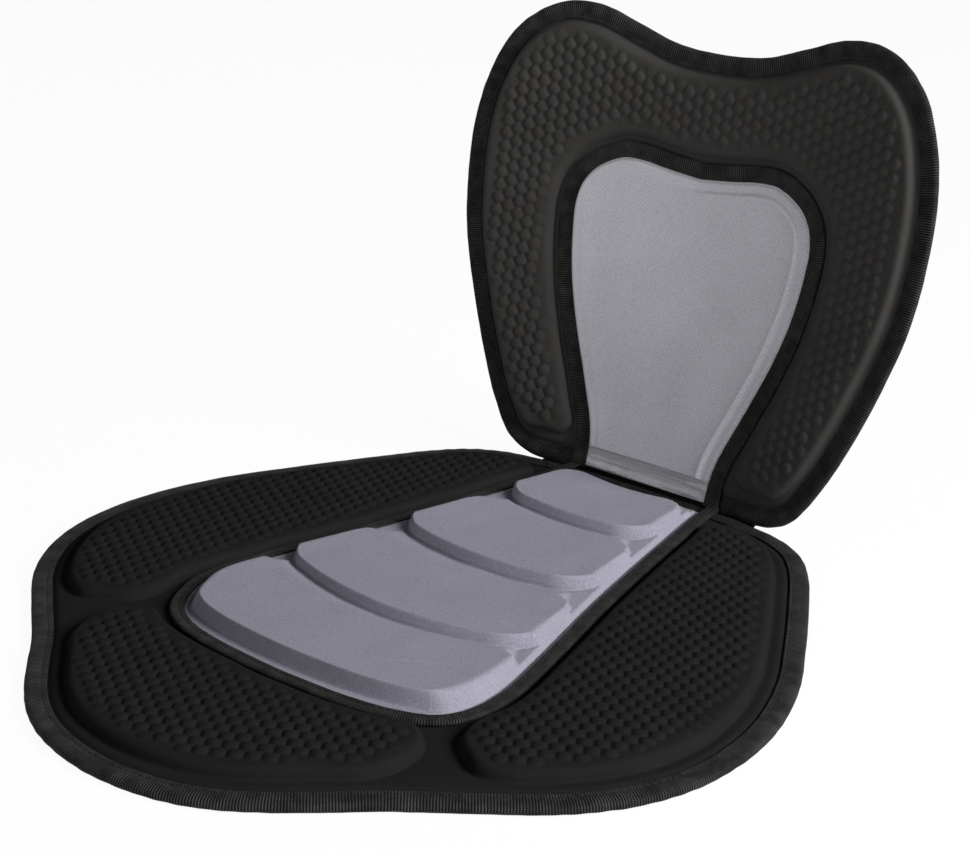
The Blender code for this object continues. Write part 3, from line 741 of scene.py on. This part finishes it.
# Outlines, as in the CAD but for the insert's, which is evened out and bent to the photo
rear_edge = [(x, seat_rear(x)) for x in (0 * MM, 40 * MM, REAR_FLAT)]
seat_half = rear_edge + [(x * MM, y * MM) for x, y in SEAT_SIDE]
seat_curve = smooth_path(mirrored(seat_half), True, 24)
back_curve = smooth_path(mirrored(np.array(BACK_SIDE) * MM), True, 24)
insert_side = smooth_path(INSERT_SIDE, False) * MM
shield_side = smooth_path(SHIELD_SIDE, False) * MM
insert_path = end_to_end(insert_side)[::-1]
cad_insert_path = insert_path
insert_path = evenly(insert_path, False, 2 * MM)
for _ in range(3):
    insert_path = smoothed(insert_path)
far_corner = np.hypot(insert_path[:, 0] + 99 * MM, insert_path[:, 1] + 311 * MM)
insert_path = insert_path + 5.5 * MM * bell(far_corner, 27 * MM)[:, None] * [0.75, 0.66]
shield_path = end_to_end(shield_side)
insert_loop = counter_clockwise(insert_path)
insert_end = seat_rear(INSERT_SIDE[-2][0] * MM) - 1.5 * MM

seat_pad_edge = inset(seat_curve, SEAT_PAD_INSET)
beside_insert = inset(cad_insert_path, -INSERT_TO_PAD, False)
pad_rear = seat_rear(REAR_FLAT) - SEAT_PAD_INSET
side_outer = np.array([p for p in seat_pad_edge if p[0] > SIDE_PAD_REAR and p[1] > SIDE_PAD_FRONT])
side_inner = np.array([p for p in beside_insert
                       if p[0] > 0 and SIDE_PAD_FRONT + 30 * MM < p[1] < pad_rear - 4 * MM])
side_rear = straight(offset(side_outer[-1], -6, 4), offset(side_inner[-1], 7, 4))
side_front = np.array([side_inner[0], offset(side_inner[0], 5, -17),
                       offset(side_inner[0], 21, -31), offset(side_outer[0], -9, -4)])
side_pad = pad_outline([side_outer, side_rear, side_inner[::-1], side_front], 4 * MM, 15 * MM)
front_end = side_inner[0][0]
front_outer = np.array([p for p in seat_pad_edge
                        if abs(p[0]) < front_end - 2 * MM and p[1] < SIDE_PAD_FRONT])
front_inner = np.array([p for p in beside_insert
                        if abs(p[0]) < front_end - 12 * MM and p[1] < SIDE_PAD_FRONT + 30 * MM])
front_right = straight(offset(front_outer[-1], 3, 8), offset(front_inner[-1], 9, -9))
front_left = front_right[::-1] * [-1, 1]
front_pad = pad_outline([front_outer, front_right, front_inner[::-1], front_left], 5 * MM, 15 * MM)
left_pad = counter_clockwise(side_pad * [-1, 1])

arch_outer = np.array([p for p in inset(back_curve, BACK_PAD_INSET)
                       if p[1] > BACK_PAD_FOOT + 12 * MM])
arch_inner = np.array([p for p in inset(shield_path, -INSERT_TO_PAD, False)
                       if p[1] > BACK_PAD_FOOT + 5 * MM])[::-1]
left_foot = straight(offset(arch_outer[-1], 8, -11), offset(arch_inner[0], -3, -4))
right_foot = left_foot[::-1] * [-1, 1]
arch_pad = pad_outline([arch_outer, left_foot, arch_inner, right_foot], 4 * MM, 16 * MM)

PAD_RINGS = [d * MM for d in (-3.5, -1.8, -0.7, 0.0, 0.4, 0.8, 1.4, 2.2, 3.2, 4.4, 5.4)]


def dome_points(outline):
    """Points fine enough for the domes, on the domes' own lattice."""
    fine = lattice((outline.min(axis=0), outline.max(axis=0)),
                   DOME_PITCH * math.sqrt(3) / 2 / DOME_STEPS, DOME_PITCH / 2 / DOME_STEPS)
    return fine[depth_in(outline, fine)[0] > DOME_EDGE]


def panel_points(edge, pads, hole, pitch):
    """Points for a moulded sheet: rings at each pad's wall, fine inside, coarse between."""
    fine = [rings(edge, True, [d * MM for d in (8, 10, 11.2, 12, 13, 14.5)], 3 * MM)]
    inner = []
    for pad in pads:
        fine.append(rings(pad, True, PAD_RINGS, 1.3 * MM))
        inner.append(dome_points(pad))
    fine = np.vstack(fine)
    coarse = triangle_lattice(inset(edge, 7 * MM), pitch)
    for pad in pads:
        coarse = coarse[~inside(inset(pad, -2 * MM), coarse)]
    coarse = away_from(coarse, fine, 2 * MM)
    points = np.vstack([fine, coarse, *inner])
    return points[~inside(hole, points)]


def panel_height(points, edge, pads, top, seed):
    """The moulded sheet's front face: pinched under the tape, raised in its pads."""
    depth = depth_in(edge, points)[0]
    z = PANEL_RIM_TOP + (top - PANEL_RIM_TOP) * step(11.3 * MM, 14.0 * MM, depth)
    z += 0.22 * MM * sway(points[:, 0], points[:, 1], seed, 60 * MM) * step(12 * MM, 20 * MM, depth)
    for pad in pads:
        near = (points > pad.min(axis=0) - 10 * MM).all(axis=1)
        near &= (points < pad.max(axis=0) + 10 * MM).all(axis=1)
        mine = points[near]
        inner = depth_in(pad, mine)[0]
        rise = pad_height(inner)
        crowned = 0.35 * MM * step(5 * MM, 26 * MM, inner)
        domes = dome_height(mine, lambda p, pad=pad: depth_in(pad, p)[0])
        dip = -0.25 * MM * bell(inner + 1.0 * MM, 1.6 * MM)
        z[near] += rise + np.where(inner > 0, crowned + domes, dip)
    return z


# Seat and back panels, open where the grey cloth lies over them
under_insert = counter_clockwise(evenly(np.array([p for p in inset(insert_path, 7 * MM, False)
                                                  if p[1] < INSERT_REAR - 6 * MM]), False, 4 * MM))
under_shield = np.array([p for p in inset(shield_path, 7 * MM, False)
                         if p[1] > STRIP_FOOT + 4 * MM])
under_shield = counter_clockwise(evenly(under_shield, False, 4 * MM))
for name, curve, hole, pads, top, seed, look, place, fill in (
        ("seat_panel", seat_curve, under_insert, [side_pad, left_pad, front_pad], SEAT_TOP, 11,
         seat_black, None, 0.9),
        ("back_panel", back_curve, under_shield, [arch_pad], BACK_TOP, 23,
         back_black_painted_lighter, onto_back, 0.85)):
    edge = evenly(inset(curve, 1.5 * MM), True, 3 * MM)
    panel = sheet_piece(name + "_cloth", edge, [hole], panel_points(curve, pads, hole, 5 * MM),
                        lambda p: panel_height(p, curve, pads, top, seed), look, place)
    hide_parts(name)


# Seat insert with its four bars
def sideways(normal):
    """0 along the insert's front edge, 1 along its sides."""
    return step(0.35, 0.9, np.abs(normal[:, 0]))


def bend(values, half):
    """How far back a bar's front edge turns near its ends."""
    over = np.clip(np.abs(values) - (half - BAR_CORNER), 0, BAR_CORNER)
    return BAR_CORNER - np.sqrt(BAR_CORNER ** 2 - over ** 2)


def walls(side):
    """Where the outer wall starts, and its width."""
    return (FRONT_FOOT + (SIDE_FOOT - FRONT_FOOT) * side,
            FRONT_WIDTH + (SIDE_WIDTH - FRONT_WIDTH) * side)


def half_width(y):
    """Half of a bar's width at this place along the insert."""
    return np.interp(y, insert_side[:, 1], insert_side[:, 0]) - SIDE_FOOT - 0.5 * SIDE_WIDTH


def bar_top(x, y, front, rear, last):
    """A bar's upper face, how far each place is behind its front edge, and its half width."""
    half = half_width(front + 22 * MM)
    bow = FIRST_BOW if front == BAR_FRONTS[0] * MM else BAR_BOW
    u = y - (front + x ** 2 / (2 * bow) + bend(x, half))
    v = y - (rear + x ** 2 / (2 * BAR_BOW))
    along = np.clip(u / np.maximum(u - v, 5 * MM), 0, 1)
    fall = BAR_FALL * (1 - 0.5 * np.clip(np.abs(x) / half, 0, 1) ** 2)
    top = CREST_Z - fall * (1 - (1 - along) ** 1.7)
    top += 0.35 * MM * bell(u - 3.0 * MM, 1.7 * MM) + 0.3 * MM * np.sin(math.pi * along)
    rear_half = half_width(rear + 12 * MM)
    round_end = np.clip(np.abs(x) - (rear_half - REAR_CORNER), 0, REAR_CORNER)
    past = v + 0.9 * (REAR_CORNER - np.sqrt(REAR_CORNER ** 2 - round_end ** 2))
    steep = 0.30 + 1.5 * step(rear_half - 13 * MM, rear_half - 3 * MM, np.abs(x))
    if last:
        steep = 1.4
    drop = CREST_Z - fall + 0.25 * MM - past * steep
    return soft_min(top, drop, 0.5 * MM), u, half


def add_creases(z, x, y):
    """Small folds that run slantwise over the bars."""
    for fx, fy, turn, long, deep in CREASES:
        c, s = math.cos(math.radians(turn)), math.sin(math.radians(turn))
        dx, dy = x - fx * MM, y - fy * MM
        t = dx * c + dy * s
        o = -dx * s + dy * c + 8 * t ** 2
        across = bell(o - 1 * MM, 1.2 * MM) - bell(o + 0.8 * MM, 1.0 * MM)
        z += deep * MM * bell(t, long * MM) * across


def bars_height(points):
    """The insert's face: a thin edge, a groove, the floor and the bars that rise from it."""
    x, y = points.T
    flange = SEAT_TOP + GAP + FLANGE_RISE
    depth, way = depth_in(insert_loop, points, insert_path)
    side = sideways(way)
    foot, width = walls(side)
    wall = flange + (CREST_Z - flange) * (depth - foot) / width
    edge = flange - 0.1 * MM - 1.7 * MM * bell(depth - GROOVE, 0.55 * MM) * side
    edge += 0.25 * MM * bell(depth - GROOVE + 1.7 * MM, 0.9 * MM)
    edge -= 0.25 * MM * bell(depth - foot + 0.5 * MM, 0.7 * MM) * (1 - side)
    floor = FLOOR_Z + 0.25 * MM * sway(x, y, 33, 30 * MM)
    floor -= 2.2 * MM * step(-31 * MM, -23 * MM, y)
    z = soft_max(edge, soft_min(wall, floor, 0.9 * MM), 0.3 * MM)
    last = len(BAR_FRONTS) - 1
    for k, (front, rear) in enumerate(zip(BAR_FRONTS, BAR_REARS)):
        top, u, half = bar_top(x, y, front * MM, rear * MM, k == last)
        ends = step(half - 17 * MM, half - 2 * MM, np.abs(x)) * side
        face = wall
        if k:
            sheer = FLOOR_Z - WALL_DIP + (CREST_Z - FLOOR_Z + WALL_DIP) * u / WALL_WIDTH
            face = soft_min(sheer, wall, 3 * MM)
        bar = soft_min(face, top, (1.3 + 5.4 * ends) * MM)
        z = soft_max(z, bar, 0.25 * MM)
        if k:
            z -= 0.7 * MM * bell(u + 0.6 * MM, 2.2 * MM) * step(0, 3 * MM, wall - FLOOR_Z)
    add_creases(z, x, y)
    z += 0.10 * MM * sway(x, y, 31, 34 * MM) * step(14 * MM, 22 * MM, depth)
    return z


insert_edge = inset(evenly(insert_path, False, 2 * MM), 1.2 * MM, False)
insert_edge = counter_clockwise(np.array([p for p in insert_edge if p[1] < INSERT_REAR]))
even = evenly(insert_path, False, 0.9 * MM)
normal = normals_of(even, False, 2)
side = sideways(normal)
foot, width = walls(side)
fine = [even + (foot + t * width)[:, None] * normal
        for t in (-0.25, 0, 0.17, 0.34, 0.5, 0.66, 0.8, 0.92, 1.05, 1.2, 1.45, 1.8)]
fine += [even[::2] + d * MM * normal[::2] for d in (5.5, 7, 8, 8.7)]
fine += [(even + d * MM * normal)[side > 0.3] for d in (9.2, 9.6, 10.0, 10.4)]
fine = np.vstack(fine)
for k, (front, rear) in enumerate(zip(BAR_FRONTS, BAR_REARS)):
    half = half_width((front + 22) * MM)
    lines = []
    if k:
        x = np.arange(-half, half, 0.8 * MM)
        y = front * MM + x ** 2 / (2 * BAR_BOW) + bend(x, half)
        lean = np.gradient(y, x)
        for u in (-2.2, -1.3, -0.6, 0, 0.4, 0.9, 1.4, 1.9, 2.4, 2.9, 3.4, 4.0, 5.0):
            back = u * MM / np.sqrt(1 + lean ** 2)
            lines.append(np.stack([x - back * lean, y + back], axis=1))
    x = np.arange(-half, half, 1.8 * MM)
    for u in (-1.2, 0, 1.2):
        lines.append(np.stack([x, (rear + u) * MM + x ** 2 / (2 * BAR_BOW)], axis=1))
    lines = np.vstack(lines)
    lines = lines[depth_in(insert_loop, lines, insert_path)[0] > SIDE_FOOT + 1.8 * SIDE_WIDTH]
    fine = np.vstack([fine, away_from(lines, fine, 0.5 * MM)])
fine = fine[inside(insert_edge, fine)]
fine = fine[fine[:, 1] < INSERT_REAR - 0.3 * MM]
insert_points = away_from(triangle_lattice(inset(insert_edge, 8 * MM), 1.8 * MM), fine, 0.7 * MM)
insert_piece = sheet_piece("seat_insert_cloth", insert_edge, [], np.vstack([fine, insert_points]),
                           bars_height, bars_grey, skirt=SKIRT)
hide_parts("seat_insert")


# Shield with the gathered strip below it
def shield_height(points):
    """The shield's raised face, with a ridge on its right, and the folds of the strip."""
    x, v = points.T
    flange = BACK_TOP + GAP + FLANGE_RISE
    depth = depth_in(counter_clockwise(shield_path), points, shield_path)[0]
    foot = v - SHIELD_FOOT
    slack = 0.05 + 0.95 * step(-45 * MM, 15 * MM, x)
    inward = depth - SHIELD_START
    rise = (SHIELD_RISE - SHIELD_STEP * slack) * step(0, 1.5 * MM, inward)
    rise += SHIELD_STEP * slack * step(5.6 * MM, 7.7 * MM, inward)
    rise += 0.3 * MM * slack * bell(inward - 8.6 * MM, 1.4 * MM)
    rise += 0.4 * MM * step(24 * MM, 50 * MM, depth)
    rise = np.where(depth > SHIELD_START, rise, 0)
    low = 0.25 * MM + 3.2 * foot
    rise = soft_min(rise, low, 1.2 * MM)
    z = flange + np.where(foot > -0.4 * MM, np.maximum(rise, 0), 0)
    below = step(0.8 * MM, -0.8 * MM, foot)
    crease = 10.2 * MM + 1.2 * MM * np.sin(x / (17 * MM) + 0.6) + 0.5 * MM * np.sin(x / (7 * MM))
    fold = 0.8 * MM * bell(v - crease - 1.2 * MM, 1.2 * MM) - 0.7 * MM * bell(v - crease, 0.6 * MM)
    second = 13.6 * MM + 0.7 * MM * np.sin(x / (11 * MM) + 2.0)
    fold += 0.4 * MM * bell(v - second, 1.0 * MM) * step(-40 * MM, 10 * MM, x)
    turned = 0.7 * MM * step(8.4 * MM, 6.4 * MM, v)
    wrinkles = fold + turned + 0.25 * MM * sway(x, 2.4 * v, 41, 14 * MM)
    z += below * wrinkles * step(9.5 * MM, 12.5 * MM, depth)
    z -= 0.9 * MM * bell(foot + 0.6 * MM, 0.8 * MM)
    z += 0.10 * MM * sway(x, v, 37, 40 * MM) * step(12 * MM, 24 * MM, depth)
    return z


shield_edge = inset(evenly(shield_path, False, 2 * MM), 1.2 * MM, False)
shield_edge = counter_clockwise(np.array([p for p in shield_edge if p[1] > STRIP_FOOT]))
x = np.arange(-60, 60.1, 1.5) * MM
foot_lines = [np.stack([x, np.full(len(x), SHIELD_FOOT + d * MM)], axis=1)
              for d in (-1.6, -1.0, -0.5, -0.1, 0.15, 0.4, 0.8, 1.3, 1.9, 2.6)]
strip_points = lattice(((-0.06, STRIP_FOOT), (0.06, SHIELD_FOOT)), 1.0 * MM, 0.55 * MM)
ridge_rings = [d * MM for d in (8.5, 9.6, 10.3, 10.8, 11.2, 11.7, 12.3, 13.4, 15, 16.2, 16.8, 17.4,
                                18, 18.6, 19.2, 20, 21, 22.5)]
fine = np.vstack([rings(shield_path, False, ridge_rings, 1.6 * MM), *foot_lines])
fine = np.vstack([fine, away_from(strip_points, fine, 0.7 * MM)])
fine = fine[inside(inset(shield_edge, 0.4 * MM), fine)]
fine = fine[fine[:, 1] > STRIP_FOOT + 0.3 * MM]
shield_points = away_from(triangle_lattice(inset(shield_edge, 10 * MM), 3 * MM), fine, 1 * MM)
shield_points = shield_points[shield_points[:, 1] > SHIELD_FOOT]
shield_piece = sheet_piece("back_insert_cloth", shield_edge, [], np.vstack([fine, shield_points]),
                           shield_height, shield_grey_partly_painted_light, onto_back, skirt=SKIRT)
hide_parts("back_insert")

# Tapes and their stitching
for name, path, closed, base, top, width, seed, place, ends in (
        ("seat_edge", seat_curve, True, 0, RIM_TOP, TAPE_WIDTH, 51, None, None),
        ("back_edge", back_curve, True, 0, RIM_TOP, TAPE_WIDTH, 61, onto_back, None),
        ("seat_insert", insert_path, False, SEAT_TOP + GAP, SEAT_TOP + GAP + INSERT_TAPE_TOP,
         INSERT_TAPE_WIDTH, 71, None, insert_end),
        ("back_insert", shield_path, False, BACK_TOP + GAP, BACK_TOP + GAP + INSERT_TAPE_TOP,
         SHIELD_TAPE_WIDTH, 81, onto_back, STRIP_FOOT)):
    tape, line, height = tape_piece(name + "_tape", path, closed, base, top, width, tape_black,
                                    seed, place=place, ends=ends)
    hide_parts(name + "_binding")
    run = lengths_along(line)[-1]
    sewing = stitches(name + "_stitching", line, closed, height, thread_black, place)


# Covers: plain cloth underneath and behind
def cover_height(edge, seed):
    """The height of a cover's face, pinched under the tape at this edge."""
    def height(points):
        depth = depth_in(edge, points)[0]
        z = COVER + GAP - (COVER + GAP) * step(11 * MM, 15 * MM, depth)
        z += 0.25 * MM * bell(depth - 13 * MM, 1.5 * MM)
        swell = 0.25 * MM * (1 + sway(points[:, 0], points[:, 1], seed, 70 * MM))
        z += swell * step(20 * MM, 50 * MM, depth)
        return z
    return height


for name, edge, place, node, seed in (
        ("seat_underside_cloth", seat_curve, None, "seat_underside_cover", 91),
        ("back_rear_cloth", back_curve, onto_back, "back_rear_cover", 97)):
    rim = evenly(inset(edge, 9 * MM), True, 3 * MM)
    points = rings(edge, True, [d * MM for d in (10, 11, 12, 13, 14, 15, 17)], 3 * MM)
    coarse = triangle_lattice(inset(edge, 18 * MM), 4.5 * MM)
    points = np.vstack([points, away_from(coarse, points, 2 * MM)])
    cover = sheet_piece(name, rim, [], points, cover_height(edge, seed), cover_black, place,
                        under=True)
    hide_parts(node)

# Hinge flap: a strip of cloth bent under the foot of the back
columns = []
xs = np.linspace(-FLAP_HALF, FLAP_HALF, 79)
mid = GAP + FLAP / 2
for x in xs:
    low = onto_back([(x, -mid, 0), (x, -mid / 2, -mid), (x, FLAP_HEIGHT, -mid)])
    start = np.array([x, seat_rear(x) + mid, low[0][2]])
    path = np.vstack([start, low])
    run = np.concatenate([[0], np.cumsum(np.linalg.norm(np.diff(path, axis=0), axis=1))])
    at = np.linspace(0, run[-1], 26)
    columns.append(np.stack([np.interp(at, run, path[:, k]) for k in range(3)], axis=1))
grid = np.array(columns)
for _ in range(2):
    grid[:, 1:-1] = 0.25 * grid[:, :-2] + 0.5 * grid[:, 1:-1] + 0.25 * grid[:, 2:]
rows, cols = grid.shape[:2]
index = np.arange(rows * cols).reshape(rows, cols)
quads = np.stack([index[:-1, :-1], index[1:, :-1], index[1:, 1:], index[:-1, 1:]], axis=2)
across = np.linspace(0, 1, cols) * 34 * MM
maps = np.stack(np.broadcast_arrays(xs[:, None], across[None]), axis=2).reshape(-1, 2)
flap = object_from("hinge_flap_cloth", grid.reshape(-1, 3), quads.reshape(-1, 4), maps, cover_black)
thick = flap.modifiers.new("cloth", "SOLIDIFY")
thick.thickness = 0.9 * FLAP
thick.offset = 0
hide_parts("hinge_flap")

# The board inside the back keeps its solid
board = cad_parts["back_stiffener"]
for slot in board.material_slots:
    slot.material = board_grey


# Floor, light and camera
def seen_apart(tree, plain, seen, share, output):
    """Camera, glossy and transmission rays meet the seen shader in this share, others the plain."""
    path = tree.nodes.new("ShaderNodeLightPath")
    total = path.outputs["Is Camera Ray"]
    for kind in ("Is Glossy Ray", "Is Transmission Ray"):
        larger = tree.nodes.new("ShaderNodeMath")
        larger.operation = "MAXIMUM"
        tree.links.new(total, larger.inputs[0])
        tree.links.new(path.outputs[kind], larger.inputs[1])
        total = larger.outputs[0]
    scaled = tree.nodes.new("ShaderNodeMath")
    scaled.operation = "MULTIPLY"
    scaled.inputs[1].default_value = share
    tree.links.new(total, scaled.inputs[0])
    blend = tree.nodes.new("ShaderNodeMixShader")
    for node, socket in zip((scaled, plain, seen), blend.inputs):
        tree.links.new(node.outputs[0], socket)
    tree.links.new(blend.outputs[0], output.inputs["Surface"])


bpy.ops.mesh.primitive_plane_add(size=30, location=(0, 0, -0.4 * MM))
floor = bpy.context.object
floor.name = "floor"
ground = bpy.data.materials.new("floor_paper")
ground.use_nodes = True
tree = ground.node_tree
surface = tree.nodes["Principled BSDF"]
set_inputs(surface, Base_Color=(0.85, 0.85, 0.85, 1), Roughness=0.9, Specular_IOR_Level=0.1)
white = tree.nodes.new("ShaderNodeEmission")
seen_apart(tree, surface, white, 0.95, tree.nodes["Material Output"])
floor.data.materials.append(ground)

world = bpy.data.worlds.new("studio")
bpy.context.scene.world = world
world.use_nodes = True
tree = world.node_tree
tree.nodes.clear()
dim = tree.nodes.new("ShaderNodeBackground")
set_inputs(dim, Color=(1, 1, 1, 1), Strength=0.12)
bright = tree.nodes.new("ShaderNodeBackground")
seen_apart(tree, dim, bright, 1.0, tree.nodes.new("ShaderNodeOutputWorld"))


def lamp(name, kind, place, target, **settings):
    """A lamp at this place, turned to the target."""
    data = bpy.data.lights.new(name, kind)
    for key, value in settings.items():
        setattr(data, key, value)
    obj = added(name, data)
    obj.location = place
    obj.rotation_euler = (Vector(target) - obj.location).to_track_quat("-Z", "Y").to_euler()


lamp("key", "AREA", (1.93, 0.28, 1.12), (0, 0, 0.05),
     shape="RECTANGLE", size=0.9, size_y=0.9, energy=86)
lamp("front", "AREA", (0.75, -2.0, 1.0), (0, 0.1, 0.1),
     shape="RECTANGLE", size=1.0, size_y=0.8, energy=3)
lamp("towards_back", "SPOT", (0.35, -2.4, 0.55), (0, SEAT_MIDDLE, 0.20),
     spot_size=math.radians(11), spot_blend=1.0, shadow_soft_size=0.25, energy=175)

AZIMUTH, ELEVATION, ROLL = math.radians(37.85), math.radians(20.73), math.radians(2.09)
FOCAL_PIXELS = 1910.7
IMAGE_WIDTH = 970
SENSOR = 36                     # millimetres
place = np.array((0.5874, SEAT_MIDDLE - 0.9253, 0.4522))
back = np.array((math.sin(AZIMUTH) * math.cos(ELEVATION), -math.cos(AZIMUTH) * math.cos(ELEVATION),
                 math.sin(ELEVATION)))
level = np.cross(-back, (0, 0, 1))
level /= np.linalg.norm(level)
lift = np.cross(level, -back)
right = math.cos(ROLL) * level + math.sin(ROLL) * lift
up = -math.sin(ROLL) * level + math.cos(ROLL) * lift
data = bpy.data.cameras.new("camera")
data.sensor_fit = "HORIZONTAL"
data.sensor_width = SENSOR
data.lens = SENSOR * FOCAL_PIXELS / IMAGE_WIDTH
data.clip_start = 0.01
camera = added("camera", data)
rows = [(right[k], up[k], back[k], place[k]) for k in range(3)]
camera.matrix_world = Matrix((*rows, (0, 0, 0, 1)))
bpy.context.scene.camera = camera
bpy.context.scene.view_settings.view_transform = "Standard"
